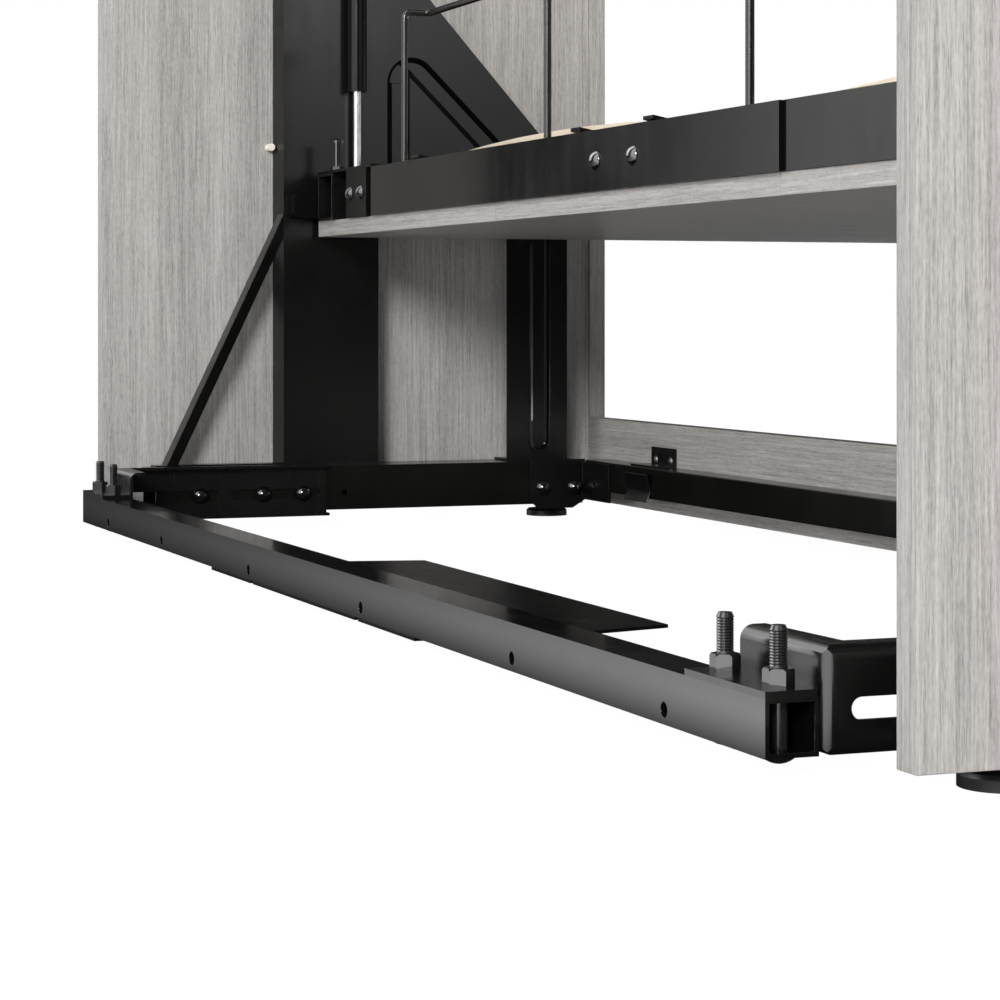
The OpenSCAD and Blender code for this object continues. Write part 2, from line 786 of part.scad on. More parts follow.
slat_pitch = (slat_last - slat_first) / (slat_n - 1);
module slats(side) {
  color("#e6d3b3") on(side) for (i = [0 : slat_n - 1])
    slat(slat_x, slat_first + i * slat_pitch);
}

// Moulded holders on the rails: one at each outer end and one shared holder in the middle.
module slat_holders() {
  d_half = slat_w / 2 + 4;
  z = [rail_top, slat_seat + slat_t + 4.5];
  color("#151515") for (i = [0 : slat_n - 1]) {
    d = slat_first + i * slat_pitch;
    difference() {
      union() {
        both() block([holder_x[1], holder_x[2]], [d - d_half, d + d_half], z);
        block([-holder_x[0], holder_x[0]], [d - d_half, d + d_half], z);
      }
      both() slat_pocket(d);
    }
  }
}
module slat_pocket(d) {
  half = slat_w / 2;
  z = [slat_seat - 0.2, slat_seat + slat_t + 2.5];
  block([slat_x[0], slat_x[1]], [d - half, d + half], z);
}

// The bent wire that keeps the mattress off the cabinet's rear.
stop_step = 27;
stop_x = [200, 588];
stop_bend = 7;
module elbow(r) {
  rotate_extrude(angle = 90) translate([stop_bend, 0]) circle(r);
}
module mattress_stop() {
  r = wire_d / 2;
  leg_r = r - 0.05;
  far = stop_d + stop_step;
  turn_x = stop_x[1] - stop_bend;
  color("#1c1c1c") {
    both() for (x = stop_x) {
      bar_z(x, stop_d, [rail_z + sheet, stop_top - stop_bend], leg_r);
      translate([x, y_wall - stop_d - stop_bend, stop_top - stop_bend]) rotate([90, 0, 90]) elbow(leg_r);
    }
    both() bar_d(stop_x[0], [stop_d + stop_bend, far], stop_top, leg_r);
    both() bar_d(stop_x[1], [stop_d + stop_bend, far - stop_bend], stop_top, leg_r);
    both() translate([turn_x, y_wall - far + stop_bend, stop_top]) mirror([0, 1, 0]) elbow(leg_r);
    bar_x([-turn_x, -stop_x[0] - 4], far, stop_top, leg_r);
    bar_x([stop_x[0] + 4, turn_x], far, stop_top, leg_r);
    bar_x([-stop_x[0] - 4, stop_x[0] + 4], far, stop_top, r);
  }
}

// ---------------------------------------------------------------- legs and handles
ear_t = 3;
leg_ear = [leg_x - leg_w / 2 - slot_clear, leg_x + leg_w / 2 + slot_clear];
module leg_clevises() {
  near = foot_rail_d[1];
  z = [318, 350];
  color("#262626") both() {
    difference() {
      union() {
        block([leg_ear[0] - 12, leg_ear[1] + 12], [near, near + 2], [rail_z, 362]);
        for (x = [leg_ear[0] + 0.3, leg_ear[1] - ear_t]) block([x, x + ear_t - 0.3], [near, foot_d - 1], z);
      }
      bar_x([leg_ear[0] - 1, leg_ear[1] + 1], leg_pivot_d, leg_pivot_z, 4);
    }
    bar_x([leg_ear[0] + 0.3, leg_ear[1] - 0.3], leg_pivot_d, leg_pivot_z, 4);
  }
}

module leg(side) {
  d = [leg_pivot_d - 2.5, leg_pivot_d - 2.5 + leg_t];
  x = [leg_x - leg_w / 2, leg_x + leg_w / 2];
  color("#2a2a2a") on(side) difference() {
    union() {
      block(x, d, [10, leg_pivot_z + 6]);
      block([x[0] + 1, x[1] - 1], [d[0] + 0.5, d[1] - 0.5], [0, 10]);
    }
    bar_x([x[0] - 1, x[1] + 1], leg_pivot_d, leg_pivot_z, 4 + running);
  }
}

module pull_handles() {
  x = 380;
  d = [1500, 1628];
  drop = 30;
  color("#2a2a2a") both() {
    for (e = d) bar_z(x, e, [face_z - drop, face_z], 5);
    bar_d(x, [d[0] - 15, d[1] + 15], face_z - drop, 6);
  }
}

side_panel(-1);  // side_panel_left
side_panel(1);  // side_panel_right
top_panel();
toe_rail();
stile(-1);  // stile_left
stile(1);  // stile_right
header_rail();
wall_cleat();
panel_dowels();
rear_floor_tube();
floor_plate();
floor_plate_screws();
slide_bracket(-1);  // slide_bracket_left
slide_bracket(1);  // slide_bracket_right
tube_studs();
stud_nuts();
side_beam(-1);  // side_beam_left
side_beam(1);  // side_beam_right
beam_bolts();
levelling_glides();
side_plate(-1);  // side_plate_left
side_plate(1);  // side_plate_right
brace(-1);  // brace_left
brace(1);  // brace_right
front_bar();
corner_brackets();
toe_brackets();
bar_clips();
bracket_screws();
bump_stops();
pivot_bushes();
strut_anchor_pins();
strut_cylinder(-1);  // strut_cylinder_left
strut_cylinder(1);  // strut_cylinder_right
strut_rod(-1);  // strut_rod_left
strut_rod(1);  // strut_rod_right
face_board([-face_half, seam_x[0] - seam_gap], -leg_x);  // face_board_left
face_board(seam_x, 0);  // face_board_centre
face_board([seam_x[1] + seam_gap, face_half], leg_x);  // face_board_right
bed_rail(-1);  // bed_rail_left
bed_rail(1);  // bed_rail_right
head_rail_left();
head_rail_right();
foot_rail();
centre_rail();
cross_bearers();
head_corner_brackets();
rail_bolts();
adjusting_screws();
pivot_brackets();
pivot_pins();
strut_studs();
slats(-1);  // slats_left
slats(1);  // slats_right
slat_holders();
mattress_stop();
leg_clevises();
leg(-1);  // leg_left
leg(1);  // leg_right
pull_handles();
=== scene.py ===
import math

import bmesh
import bpy
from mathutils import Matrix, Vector


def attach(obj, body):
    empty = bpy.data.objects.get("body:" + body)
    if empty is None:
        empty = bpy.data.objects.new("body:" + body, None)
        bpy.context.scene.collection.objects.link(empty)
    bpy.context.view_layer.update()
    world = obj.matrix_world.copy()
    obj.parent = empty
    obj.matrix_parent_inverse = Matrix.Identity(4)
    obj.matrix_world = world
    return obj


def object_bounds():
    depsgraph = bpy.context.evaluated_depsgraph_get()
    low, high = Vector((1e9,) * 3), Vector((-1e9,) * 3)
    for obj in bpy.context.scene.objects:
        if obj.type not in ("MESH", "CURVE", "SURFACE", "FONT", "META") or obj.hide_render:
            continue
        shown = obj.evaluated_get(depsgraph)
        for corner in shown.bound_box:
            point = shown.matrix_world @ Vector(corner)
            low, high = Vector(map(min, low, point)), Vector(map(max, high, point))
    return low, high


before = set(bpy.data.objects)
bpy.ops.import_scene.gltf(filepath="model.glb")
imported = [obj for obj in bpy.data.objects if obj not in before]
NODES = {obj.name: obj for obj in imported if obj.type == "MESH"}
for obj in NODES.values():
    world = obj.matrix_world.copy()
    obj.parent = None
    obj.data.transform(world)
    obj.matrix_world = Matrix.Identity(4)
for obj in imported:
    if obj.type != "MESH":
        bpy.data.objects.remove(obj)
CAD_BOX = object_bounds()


# ---------------------------------------------------------------- node trees
class Tree:
    """Fills the node tree of a material or of the world."""

    def __init__(self, owner):
        owner.use_nodes = True
        self.owner = owner
        self.tree = owner.node_tree
        self.tree.nodes.clear()

    def put(self, socket, value):
        """Links another node's output to an input, or sets the input's value."""
        if isinstance(value, bpy.types.NodeSocket):
            self.tree.links.new(value, socket)
        else:
            socket.default_value = value

    def node(self, kind, **inputs):
        """A new node; its inputs are given by name, with _ for a space."""
        node = self.tree.nodes.new(kind)
        for name, value in inputs.items():
            self.put(node.inputs[name.replace("_", " ")], value)
        return node

    def add(self, kind, **inputs):
        """The first output of a new node."""
        return self.node(kind, **inputs).outputs[0]

    def in_order(self, kind, *values):
        """A new node whose inputs are given in the node's own order."""
        node = self.tree.nodes.new(kind)
        for socket, value in zip(node.inputs, values):
            self.put(socket, value)
        return node

    def coords(self, output="Object"):
        return self.node("ShaderNodeTexCoord").outputs[output]

    def split(self, vector):
        """A vector's parts, by the names X, Y and Z."""
        return self.node("ShaderNodeSeparateXYZ", Vector=vector).outputs

    def math(self, op, *values):
        node = self.in_order("ShaderNodeMath", *values)
        node.operation = op
        return node.outputs[0]

    def times(self, a, b):
        return self.math("MULTIPLY", a, b)

    def total(self, first, *others):
        for value in others:
            first = self.math("ADD", first, value)
        return first

    def weighted(self, *parts):
        """The sum of (value, weight) pairs."""
        return self.total(*(self.times(value, weight) for value, weight in parts))

    def vector(self, op, *values):
        node = self.in_order("ShaderNodeVectorMath", *values)
        node.operation = op
        return node.outputs["Value" if op == "DOT_PRODUCT" else "Vector"]

    def noise(self, vec, scale, stretch=(1, 1, 1), detail=2.0, rough=0.5):
        """Noise with scale features a metre; an axis stretched below 1 has longer features."""
        moved = self.vector("MULTIPLY", vec, tuple(scale * s for s in stretch))
        return self.add("ShaderNodeTexNoise", Vector=moved, Scale=1.0, Detail=detail, Roughness=rough)

    def span(self, value, low, high, to_low=0.0, to_high=1.0):
        """The value's way from low to high, clamped, as a number from to_low to to_high."""
        return self.in_order("ShaderNodeMapRange", value, low, high, to_low, to_high).outputs[0]

    def window(self, value, rise, fall):
        """1 between a rising and a falling ramp, 0 outside them."""
        return self.times(self.span(value, *rise), self.span(value, *fall, 1.0, 0.0))

    def blend(self, fac, a, b, kind="RGBA"):
        """A blend of two colours, or of two vectors."""
        node = self.tree.nodes.new("ShaderNodeMix")
        node.data_type = kind
        for name, value in (("Factor", fac), ("A", a), ("B", b)):
            self.put(node.inputs[name], value)
        return node.outputs["Result"]

    def mix(self, fac, a, b):
        """A blend of two shaders."""
        return self.in_order("ShaderNodeMixShader", fac, a, b).outputs[0]

    def by_ray(self, camera, glossy, other):
        """One shader for camera rays, one for glossy rays and one for the rest."""
        path = self.node("ShaderNodeLightPath").outputs
        unseen = self.mix(path["Is Glossy Ray"], other, glossy)
        return self.mix(path["Is Camera Ray"], unseen, camera)

    def surface(self, bump, strength, distance, **inputs):
        """Ends the tree in a bumped Principled surface and gives back the material."""
        normal = self.add("ShaderNodeBump", Strength=strength, Distance=distance, Height=bump)
        shader = self.add("ShaderNodeBsdfPrincipled", Normal=normal, **inputs)
        self.node("ShaderNodeOutputMaterial", Surface=shader)
        return self.owner


def material_tree(name):
    return Tree(bpy.data.materials.new(name))


def rgb(r, g, b):
    return (r, g, b, 1.0)


def grey(level):
    return rgb(level, level, level)


# ---------------------------------------------------------------- kinds of material
# Which object axes stand for the pattern's two cross directions and its length.
ORDER = {"X": ("Y", "Z", "X"), "Y": ("X", "Z", "Y"), "Z": ("X", "Y", "Z")}
UNIT = {"X": (1, 0, 0), "Y": (0, 1, 0), "Z": (0, 0, 1)}
END_FACE = 0.7                      # a face whose normal has more than this along the grain cuts across it
LAMINATE_DARK = (0.205, 0.194, 0.185)
LAMINATE_LIGHT = (0.575, 0.556, 0.538)
SWAY = 0.014                        # how far the grain wanders, in metres


def grain_space(t, grain, end, seed):
    """Coordinates whose third axis runs along the grain; faces cut across it take the edge banding's axis."""
    parts = t.split(t.coords())

    def turned(axis):
        x, y, z = (parts[k] for k in ORDER[axis])
        return t.add("ShaderNodeCombineXYZ", X=x, Y=y, Z=z)

    facing = t.vector("DOT_PRODUCT", t.coords("Normal"), UNIT[grain])
    across = t.math("GREATER_THAN", t.math("ABSOLUTE", facing), END_FACE)
    return t.vector("ADD", t.blend(across, turned(grain), turned(end), "VECTOR"), seed)


def laminate(name, grain, end, seed, tint=1.0, edge_shade=1.0):
    """Grey-taupe wood-grain laminate: fine fibres, broader streaks, flowing growth lines and short pores.

    tint scales the whole colour, to paint light or shade on the part, and band scales that of the faces
    across Y, to paint shade on them."""
    t = material_tree(name)
    vec = grain_space(t, grain, end, seed)
    sway = t.noise(vec, 3.0, (1, 1, 0.3))
    wander = t.vector("MULTIPLY", t.add("ShaderNodeCombineXYZ", X=sway, Y=sway), (SWAY, SWAY, 0))
    flow = t.vector("ADD", vec, wander)
    fine = t.noise(flow, 640.0, (1, 1, 0.030), 3.0, 0.65)
    streak = t.noise(flow, 330.0, (1, 1, 0.012), 2.0, 0.6)
    broad = t.noise(flow, 26.0, (1, 1, 0.05))
    mottle = t.noise(vec, 900.0, (1, 1, 0.22), 2.0, 0.65)
    rings = t.node("ShaderNodeTexWave", Vector=t.vector("MULTIPLY", flow, (1, 1, 0.030)), Scale=26.0,
                   Distortion=3.2, Detail=2.0, Detail_Scale=1.0, Detail_Roughness=0.5).outputs["Fac"]
    line = t.span(rings, 0.0, 0.16, 1.0, 0.0)
    pores = t.span(t.noise(flow, 1300.0, (1, 1, 0.05), 1.0), 0.58, 0.70)
    tone = t.weighted((fine, 0.46), (streak, 0.30), (broad, 0.13), (mottle, 0.30), (line, -0.045),
                      (pores, -0.10))
    # tint paints light or shade over the whole part by scaling both grain colours.
    dark, light = (rgb(*(tint * c for c in shade)) for shade in (LAMINATE_DARK, LAMINATE_LIGHT))
    colour = t.blend(t.span(tone, 0.36, 0.78), dark, light)
    # Painted shade: the faces turned along Y get their colour scaled down by the last argument.
    facing_y = t.math("ABSOLUTE", t.vector("DOT_PRODUCT", t.coords("Normal"), UNIT["Y"]))
    shade = t.span(facing_y, 0.5, 0.8, 1.0, edge_shade)
    colour = t.vector("MULTIPLY", colour, t.add("ShaderNodeCombineXYZ", X=shade, Y=shade, Z=shade))
    return t.surface(tone, 0.30, 0.0003, Base_Color=colour, Roughness=t.span(fine, 0.3, 0.7, 0.50, 0.40),
                     Specular_IOR_Level=0.28)


def plain_wood(name, grain, light, dark, rough):
    """Pale clear-finished wood with long fibres and faint rings."""
    t = material_tree(name)
    vec = grain_space(t, grain, grain, (0.13, 0.41, 0.27))
    fine = t.noise(vec, 520.0, (1, 1, 0.04), 3.0, 0.6)
    broad = t.noise(vec, 60.0, (1, 1, 0.05))
    tone = t.weighted((fine, 0.6), (broad, 0.5))
    colour = t.blend(t.span(tone, 0.35, 0.75), rgb(*dark), rgb(*light))
    return t.surface(fine, 0.15, 0.0002, Base_Color=colour, Roughness=rough, Specular_IOR_Level=0.4)


def coated(name, dark, light, rough, peel, shine=(0.5, 0.5, 0.5)):
    """Black coated steel: a faint orange peel, and a gloss that varies a little from place to place.

    shine is how much the faces across X, Y and Z mirror."""
    t = material_tree(name)
    place = t.coords()
    skin = t.noise(place, 850.0)
    cloud = t.noise(place, 7.0, (1, 1, 1), 3.0, 0.55)
    rub = t.noise(place, 60.0, (1, 1, 0.3), 2.0, 0.6)
    colour = t.blend(t.span(cloud, 0.35, 0.7), rgb(*dark), rgb(*light))
    gloss = t.total(t.span(cloud, 0.3, 0.7, rough - 0.03, rough + 0.03), t.span(rub, 0.4, 0.7, 0.0, 0.03))
    facing = t.vector("ABSOLUTE", t.coords("Normal"))
    return t.surface(skin, peel, 0.00008, Base_Color=colour, Roughness=gloss,
                     Specular_IOR_Level=t.vector("DOT_PRODUCT", facing, shine))


def metal(name, colour, rough, marks=(1, 1, 1)):
    """Bare or plated metal with fine turning marks in its gloss."""
    t = material_tree(name)
    place = t.coords()
    turn = t.noise(place, 900.0, marks)
    cloud = t.noise(place, 25.0)
    dim = (0.82 * c for c in colour)
    tint = t.blend(t.span(cloud, 0.3, 0.7), rgb(*dim), rgb(*colour))
    return t.surface(turn, 0.05, 0.00006, Base_Color=tint, Metallic=1.0,
                     Roughness=t.span(turn, 0.3, 0.7, rough, rough + 0.06))


def moulded(name, dark, light, rough, shine=0.5):
    """Moulded plastic or rubber with a fine grain."""
    t = material_tree(name)
    place = t.coords()
    grain = t.noise(place, 1400.0)
    cloud = t.noise(place, 20.0)
    colour = t.blend(t.span(cloud, 0.35, 0.7), rgb(*dark), rgb(*light))
    return t.surface(grain, 0.15, 0.0001, Base_Color=colour,
                     Roughness=t.span(grain, 0.3, 0.7, rough - 0.05, rough + 0.05),
                     Specular_IOR_Level=shine)


def rolled_edge(name):
    """The beads' walls: glossy below the bed on the faces turned from the room's wall, else flat black."""
    t = material_tree(name)
    place = t.coords()
    skin = t.noise(place, 850.0)
    facing = t.span(t.vector("DOT_PRODUCT", t.coords("Normal"), UNIT["Y"]), -0.1, 0.25, 1.0, 0.12)
    shine = t.times(t.span(t.split(place)["Z"], 0.30, 0.345, 1.0, 0.03), facing)
    colour = t.blend(t.span(skin, 0.3, 0.7), grey(0.0012), grey(0.0022))
    return t.surface(skin, 0.02, 0.00006, Base_Color=colour, Specular_IOR_Level=shine,
                     Roughness=t.span(skin, 0.3, 0.7, 0.11, 0.14))


# ---------------------------------------------------------------- materials
# The black finishes' shine was set against the photograph, for each part and way it faces.
BLACK = ((0.0032, 0.0031, 0.0029), (0.0052, 0.0050, 0.0047))
BEAM_BLACK = ((0.0028, 0.0027, 0.0023), (0.0044, 0.0042, 0.0036))
PLATE_BLACK = ((0.0036, 0.0035, 0.0033), (0.0056, 0.0054, 0.0051))
OXIDE_BLACK = ((0.0030, 0.0030, 0.0032), (0.0046, 0.0046, 0.0048))
THREAD_BLACK = ((0.010, 0.010, 0.0102), (0.016, 0.016, 0.0165))
PAINT_BLACK = ((0.0025, 0.0025, 0.0025), (0.004, 0.004, 0.004))
RUBBER_BLACK = ((0.0015, 0.0015, 0.0015), (0.0028, 0.0028, 0.0028))

powder = coated("powder_coat", *BLACK, 0.24, 0.04)
powder_dark = coated("powder_coat_beam", *BEAM_BLACK, 0.20, 0.03)
stamped = coated("powder_coat_plate", *PLATE_BLACK, 0.20, 0.04, shine=(0.5, 0.04, 0.04))
dull = coated("powder_coat_dull", *BLACK, 0.14, 0.03, shine=(0.10, 0.10, 0.10))
glossy = coated("powder_coat_glossy", *BLACK, 0.11, 0.02, shine=(0.5, 0.5, 0.06))
formed = coated("powder_coat_formed", *BLACK, 0.24, 0.03, shine=(0.5, 0.5, 0.15))
flat_black = coated("powder_coat_flat", *BLACK, 0.30, 0.04, shine=(0.05, 0.05, 0.05))
rolled = rolled_edge("powder_coat_rolled")
fastener = coated("black_oxide", *OXIDE_BLACK, 0.08, 0.02, shine=(0.8, 0.8, 0.8))
thread = coated("black_oxide_thread", *THREAD_BLACK, 0.22, 0.02)
strut_paint = coated("strut_paint", *PAINT_BLACK, 0.20, 0.02, shine=(0.15, 0.15, 0.15))
chrome = metal("chrome_plate", (0.92, 0.92, 0.93), 0.16, (1, 1, 0.2))
steel = metal("turned_steel", (0.55, 0.55, 0.56), 0.24)
bronze = metal("sintered_bronze", (0.52, 0.38, 0.20), 0.36)
zinc = metal("screw_steel", (0.36, 0.36, 0.355), 0.38)
plastic = moulded("black_plastic", (0.012, 0.012, 0.0122), (0.018, 0.018, 0.018), 0.42)
rubber = moulded("black_rubber", *RUBBER_BLACK, 0.6, 0.06)
birch = plain_wood("birch_slat", "X", (0.86, 0.76, 0.61), (0.70, 0.58, 0.43), 0.42)
beech = plain_wood("beech_dowel", "X", (0.93, 0.89, 0.80), (0.84, 0.78, 0.67), 0.5)

# Laminate boards: the grain's axis, the end faces' axis and where in the pattern the board is cut.
WOOD = {
    "side_panel_left": ("Z", "Y", (0.30, 0.10, 0.0)),
    "side_panel_right": ("Z", "Y", (1.90, 0.70, 0.6)),
    "top_panel": ("X", "X", (0.10, 1.30, 0.4)),
    "toe_rail": ("X", "X", (2.10, 0.20, 0.9)),
    "stile_left": ("Z", "X", (3.20, 0.50, 0.2)),
    "stile_right": ("Z", "X", (0.70, 2.10, 1.1)),
    "header_rail": ("X", "X", (1.40, 0.90, 0.3)),
    "wall_cleat": ("X", "X", (2.60, 1.70, 0.8)),
    "face_board_left": ("Y", "X", (0.20, 3.10, 0.5)),
    "face_board_centre": ("Y", "X", (1.10, 2.30, 1.4)),
    "face_board_right": ("Y", "X", (2.30, 1.10, 0.1)),
}
# Painted light and shade: each listed part's laminate colour is scaled, darker on the face boards and the
# left side panel as painted shade, lighter on the toe rail as painted light.
PAINTED_LIGHT_AND_SHADE = {
    "face_board_left": 0.82, "face_board_centre": 0.82, "face_board_right": 0.82,
    "side_panel_left": 0.91, "toe_rail": 1.08,
}
# Painted shade on the side panels' front and rear edges, the faces across Y.
PAINTED_EDGE_SHADE = {"side_panel_left": 0.84, "side_panel_right": 0.84}

# The other nodes with a look of their own; the rest are plain powder coat.
LOOKS = [
    (beech, ["panel_dowels"]),
    (birch, ["slats_left", "slats_right"]),
    (plastic, ["slat_holders", "levelling_glides"]),
    (rubber, ["bump_stops"]),
    (bronze, ["pivot_bushes"]),
    (steel, ["pivot_pins"]),
    (chrome, ["strut_rod_left", "strut_rod_right"]),
    (strut_paint, ["strut_cylinder_left", "strut_cylinder_right"]),
    (thread, ["tube_studs"]),
    (zinc, ["bracket_screws"]),
    (fastener, ["stud_nuts", "beam_bolts", "rail_bolts", "adjusting_screws", "floor_plate_screws",
                "strut_anchor_pins", "strut_studs"]),
    (stamped, ["side_plate_left", "side_plate_right"]),
    (dull, ["head_rail_left", "head_rail_right", "brace_left", "brace_right"]),
    (flat_black, ["head_corner_brackets", "pivot_brackets", "floor_plate"]),
    (glossy, ["rear_floor_tube"]),
    (formed, ["slide_bracket_left", "slide_bracket_right"]),
    (powder_dark, ["side_beam_left", "side_beam_right", "front_bar"]),
]


def dress(node, material):
    slot = node.material_slots[0]
    slot.link = "OBJECT"
    slot.material = material


for name, node in NODES.items():
    if name in WOOD:
        board = laminate("laminate_" + name, *WOOD[name], PAINTED_LIGHT_AND_SHADE.get(name, 1.0), PAINTED_EDGE_SHADE.get(name, 1.0))
        dress(node, board)
    else:
        dress(node, powder)
for material, names in LOOKS:
    for name in names:
        dress(NODES[name], material)


# ---------------------------------------------------------------- softened edges
SHARP = math.radians(32)            # edges that turn by more than this are rounded
COPLANAR = math.radians(0.4)        # faces that turn by less than this are joined
WELD_GAP = 0.00001

# Edge widths in metres, the bevel's segments, whether its flat neighbours stay flat, and the nodes.
EDGES = [
    (0.0007, 2, True, [
        *WOOD, "slats_left", "slats_right", "slat_holders", "side_plate_left", "side_plate_right",
        "head_rail_left", "head_rail_right", "head_corner_brackets", "corner_brackets", "toe_brackets",
        "bar_clips", "brace_left", "brace_right", "floor_plate", "pivot_brackets",
        "leg_left", "leg_right", "leg_clevises"]),
    (0.0012, 3, False, ["slide_bracket_left", "slide_bracket_right"]),
    (0.0022, 3, False, ["rear_floor_tube"]),
    (0.0022, 3, True, [
        "front_bar", "side_beam_left", "side_beam_right", "bed_rail_left", "bed_rail_right",
        "foot_rail", "centre_rail", "cross_bearers"]),
]


def shade_group():
    """Geometry nodes that shade faces smooth and keep sharp edges sharp."""
    group = bpy.data.node_groups.new("smooth_by_angle", "GeometryNodeTree")
    for in_out in ("INPUT", "OUTPUT"):
        group.interface.new_socket("Geometry", in_out=in_out, socket_type="NodeSocketGeometry")
    start, end = group.nodes.new("NodeGroupInput"), group.nodes.new("NodeGroupOutput")
    faces, edges = (group.nodes.new("GeometryNodeSetShadeSmooth") for _ in range(2))
    edges.domain = "EDGE"
    turn = group.nodes.new("GeometryNodeInputMeshEdgeAngle")
    less = group.nodes.new("FunctionNodeCompare")
    less.operation = "LESS_THAN"
    less.inputs[1].default_value = SHARP
    group.links.new(turn.outputs["Unsigned Angle"], less.inputs[0])
    group.links.new(less.outputs[0], edges.inputs["Shade Smooth"])
    group.links.new(start.outputs[0], faces.inputs["Geometry"])
    group.links.new(faces.outputs[0], edges.inputs["Geometry"])
    group.links.new(edges.outputs[0], end.inputs[0])
    return group


SMOOTH = shade_group()


def soften(node, width, segments, harden):
    """Joins the CAD mesh's split faces and rounds its sharp edges."""
    weld = node.modifiers.new("weld", "WELD")
    weld.merge_threshold = WELD_GAP
    flat = node.modifiers.new("flat", "DECIMATE")
    flat.decimate_type = "DISSOLVE"
    flat.angle_limit = COPLANAR
    shade = node.modifiers.new("shade", "NODES")
    shade.node_group = SMOOTH
    bevel = node.modifiers.new("edge", "BEVEL")
    bevel.width = width
    bevel.segments = segments
    bevel.limit_method = "ANGLE"
    bevel.angle_limit = SHARP
    bevel.use_clamp_overlap = True
    bevel.harden_normals = harden


for width, segments, harden, names in EDGES:
    for name in names:
        soften(NODES[name], width, segments, harden)


# ---------------------------------------------------------------- the beads' sloped walls
def inner_face(node):
    """X of a right-hand node's face towards the middle."""
    return min((node.matrix_world @ Vector(corner)).x for corner in node.bound_box)


WALL_Y = CAD_BOX[1][1]              # the room's wall, from which the bead's depths are measured
PLATE_IN = inner_face(NODES["side_plate_right"])
# The bead as the part's source has it, in metres.
BEAD_DEPTH = 0.002
BEAD_HALF = 0.0125                  # half its width
BEAD_REAR, BEAD_FRONT = 0.3595, 0.528   # depths of its two upright runs
BEAD_LOW, BEAD_FOOT = 0.347, 0.086  # heights where they end
BEAD_PEAK, BEAD_TURN = 0.5246, 0.016    # height and radius of the top turn's centre line
BEAD_FALL = math.radians(44.5)
# The visual rim: its outer edge laps over the sheet, its crest stands proud, its toe is at the bottom.
# It also carries the outline across the gap in the CAD groove's rear turn.
LAP_W, LAP_H = 0.0006, 0.00005
LIP_W, LIP_H = 0.0015, 0.0005
SLOPE_W = 0.0055
RIM_CREASE = math.radians(60)


def arc(centre, radius, first, last, steps):
    """Points on an arc between two angles in degrees, both ends included."""
    turns = [math.radians(first + (last - first) * i / steps) for i in range(steps + 1)]
    return [(centre[0] + radius * math.cos(a), centre[1] + radius * math.sin(a)) for a in turns]


def bead_outline(half):
    """The bead's edge as (depth, height) points, at half from its centre line."""
    fall = math.degrees(BEAD_FALL)
    knee = BEAD_PEAK - (BEAD_FRONT - BEAD_REAR) * math.tan(BEAD_FALL)
    drop = BEAD_TURN / math.tan((math.pi / 2 - BEAD_FALL) / 2)
    turn = (BEAD_REAR + BEAD_TURN, BEAD_PEAK - drop)

    def under(depth):
        """Height of the slope's lower edge."""
        return BEAD_PEAK - (depth - BEAD_REAR) * math.tan(BEAD_FALL) - half / math.cos(BEAD_FALL)

    points = arc((BEAD_REAR, BEAD_LOW), half, 360, 180, 16)
    points += arc(turn, BEAD_TURN + half, 180, 90 - fall, 20)
    points += arc((BEAD_FRONT, knee), half, 90 - fall, 0, 6)
    points += arc((BEAD_FRONT, BEAD_FOOT), half, 0, -180, 16)
    points += [(depth, under(depth)) for depth in (BEAD_FRONT - half, BEAD_REAR + half)]
    return points


def bead_slope(side):
    """A low lip and a slope all round the bead, from the sheet's face down to the bead's floor."""
    edge, rim, toe = (bead_outline(BEAD_HALF + w) for w in (LAP_W, -LIP_W, -SLOPE_W))
    rings = [(edge, -LAP_H), (rim, -LIP_H), (toe, BEAD_DEPTH), (rim, BEAD_DEPTH)]
    mesh = bpy.data.meshes.new("bead_slope")
    bm = bmesh.new()
    loops = [[bm.verts.new((side * (PLATE_IN + x), WALL_Y - d, z)) for d, z in ring] for ring, x in rings]
    count = len(edge)
    for a, b in zip(loops, loops[1:] + loops[:1]):
        for i in range(count):
            following = (i + 1) % count
            face = bm.faces.new((a[i], a[following], b[following], b[i]))
            face.smooth = True
    bmesh.ops.recalc_face_normals(bm, faces=bm.faces)
    bm.to_mesh(mesh)
    bm.free()
    mesh.set_sharp_from_angle(angle=RIM_CREASE)
    mesh.materials.append(rolled)
    piece = bpy.data.objects.new("bead_slope_" + ("right" if side > 0 else "left"), mesh)
    bpy.context.scene.collection.objects.link(piece)
    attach(piece, "cabinet")


for side in (1, -1):
    bead_slope(side)


# ---------------------------------------------------------------- floor
FLOOR_GAP = 0.0005                  # keeps the floor just under the part's feet
FLOOR_HALF = 60.0
WHITE = grey(1)


def pale_floor():
    """Near white to the camera, dim to diffuse light, and lit by place where it's mirrored."""
    t = material_tree("pale_floor")
    place = t.coords()
    axis = t.split(place)
    colour = t.blend(t.noise(place, 1.5), grey(0.80), grey(0.84))
    paint = t.add("ShaderNodeBsdfDiffuse", Color=colour)

    def lit(share, strength):
        """The paint, with a share of it replaced by a glow."""
        return t.mix(share, paint, t.add("ShaderNodeEmission", Color=WHITE, Strength=strength))

    # a glow behind the wall's plane that fades away along X, and one beyond the bed's foot
    reach = t.times(t.math("ADD", axis["X"], 0.5), -1.77)
    fade = t.math("MINIMUM", t.math("EXPONENT", reach), 1.5)
    sheen = t.times(fade, t.span(axis["Y"], 1.192, 1.268, 0.06, 1.0))
    sheen = t.times(sheen, t.math("GREATER_THAN", axis["Y"], 1.172))
    foot = t.times(t.math("LESS_THAN", axis["Y"], -1.3), t.math("GREATER_THAN", axis["X"], -2.4))
    glare = t.weighted((sheen, 1.9), (foot, 3.6))
    shader = t.by_ray(camera=lit(0.93, 1.06), glossy=lit(0.95, glare), other=lit(0.12, 0.0))
    t.node("ShaderNodeOutputMaterial", Surface=shader)
    return t.owner


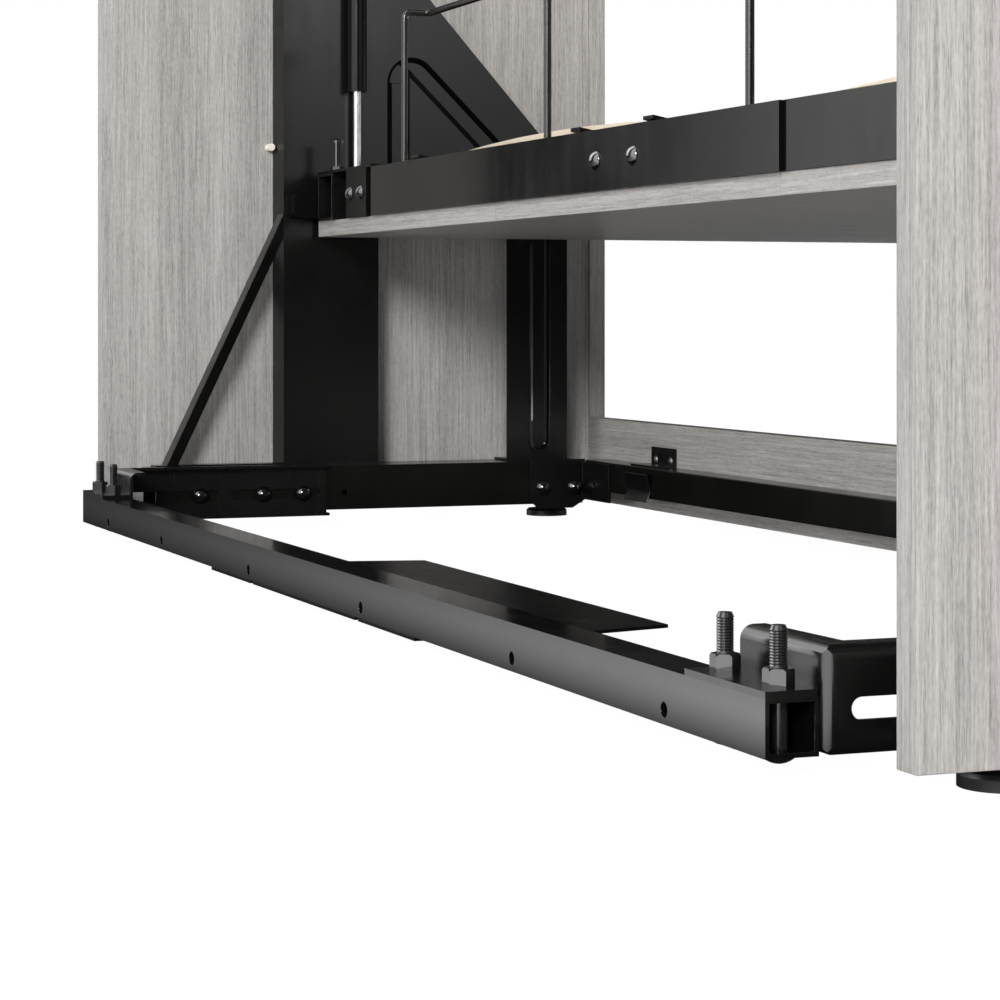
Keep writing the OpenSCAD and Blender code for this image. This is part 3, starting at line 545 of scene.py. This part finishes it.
def floor():
    mesh = bpy.data.meshes.new("floor")
    bm = bmesh.new()
    bmesh.ops.create_grid(bm, x_segments=1, y_segments=1, size=FLOOR_HALF)
    bm.to_mesh(mesh)
    bm.free()
    mesh.materials.append(pale_floor())
    plane = bpy.data.objects.new("floor", mesh)
    plane.location = (0, 0, -FLOOR_GAP)
    bpy.context.scene.collection.objects.link(plane)


floor()


# ---------------------------------------------------------------- lights
def aimed(direction):
    """The rotation of a lamp or a camera that looks along a direction."""
    return Vector(direction).to_track_quat("-Z", "Y").to_euler()


def softbox(name, place, aim, size, watts, mirrored=True):
    lamp = bpy.data.lights.new(name, "AREA")
    lamp.shape = "RECTANGLE"
    lamp.size, lamp.size_y = size
    lamp.energy = watts
    stand = bpy.data.objects.new(name, lamp)
    stand.location = place
    stand.rotation_euler = aimed(Vector(aim) - Vector(place))
    stand.visible_glossy = mirrored
    bpy.context.scene.collection.objects.link(stand)


softbox("key", place=(-5.15, 4.55, 2.6), aim=(0.3, 0.6, 0.3), size=(1.7, 1.7), watts=370)
softbox("side", place=(-3.8, 0.3, 1.9), aim=(0.8, 0.8, 0.5), size=(2.4, 2.0), watts=20)
softbox("far", place=(3.2, 3.0, 1.3), aim=(0.0, 1.1, 0.2), size=(2.0, 1.6), watts=22, mirrored=False)
softbox("under", place=(0.1, 3.2, 0.30), aim=(0.5, 0.3, 0.06), size=(1.6, 0.5), watts=16, mirrored=False)
softbox("room", place=(0.5, -4.5, 3.2), aim=(0.0, 0.0, 0.5), size=(3.0, 2.0), watts=90)


def surroundings():
    """White to the camera, an even fill for diffuse light, and a dim room with bright parts to mirror."""
    world = bpy.data.worlds.new("studio")
    bpy.context.scene.world = world
    t = Tree(world)
    axis = t.split(t.coords("Generated"))
    turn = t.math("ARCTAN2", axis["Y"], axis["X"])      # direction round Z, in radians
    flank = t.window(turn, (0.42, 0.52), (0.90, 1.2))
    rim = t.window(turn, (1.45, 1.75), (2.2, 2.6))
    foot = t.window(turn, (-2.35, -2.2), (-1.45, -1.3))
    near = t.window(turn, (-3.1, -2.95), (-2.6, -2.4))
    sky = t.window(turn, (-0.2, 0.1), (0.8, 1.1))
    # the last three change their strength with height above the horizon
    foot_level = t.span(axis["Z"], 0.0, 0.05, 5.0, 0.0)
    near_level = t.span(axis["Z"], 0.02, 0.13, 0.0, 1.0)
    sky_level = t.span(axis["Z"], 0.14, 0.36, 0.0, 2.4)
    bright = t.weighted((flank, 3.2), (rim, 3.0), (foot, foot_level), (near, near_level), (sky, sky_level))
    level = t.total(bright, 0.022)

    def background(strength, colour=WHITE):
        return t.add("ShaderNodeBackground", Color=colour, Strength=strength)

    fill = background(0.44, rgb(1, 0.998, 0.994))
    shader = t.by_ray(camera=background(1.0), glossy=background(level), other=fill)
    t.node("ShaderNodeOutputWorld", Surface=shader)


surroundings()
bpy.context.scene.view_settings.view_transform = "Standard"

# ---------------------------------------------------------------- camera
camera = bpy.data.cameras.new("camera")
camera.lens = 95.4
camera.sensor_width = 36.0
camera.shift_y = -0.188             # a level camera with its horizon above the middle keeps uprights parallel
camera.clip_start, camera.clip_end = 0.05, 300.0
stand = bpy.data.objects.new("camera", camera)
stand.location = (-1.9687, 1.7620, 0.2321)
stand.rotation_euler = aimed((0.9335, -0.3586, 0))
bpy.context.scene.collection.objects.link(stand)
bpy.context.scene.camera = stand
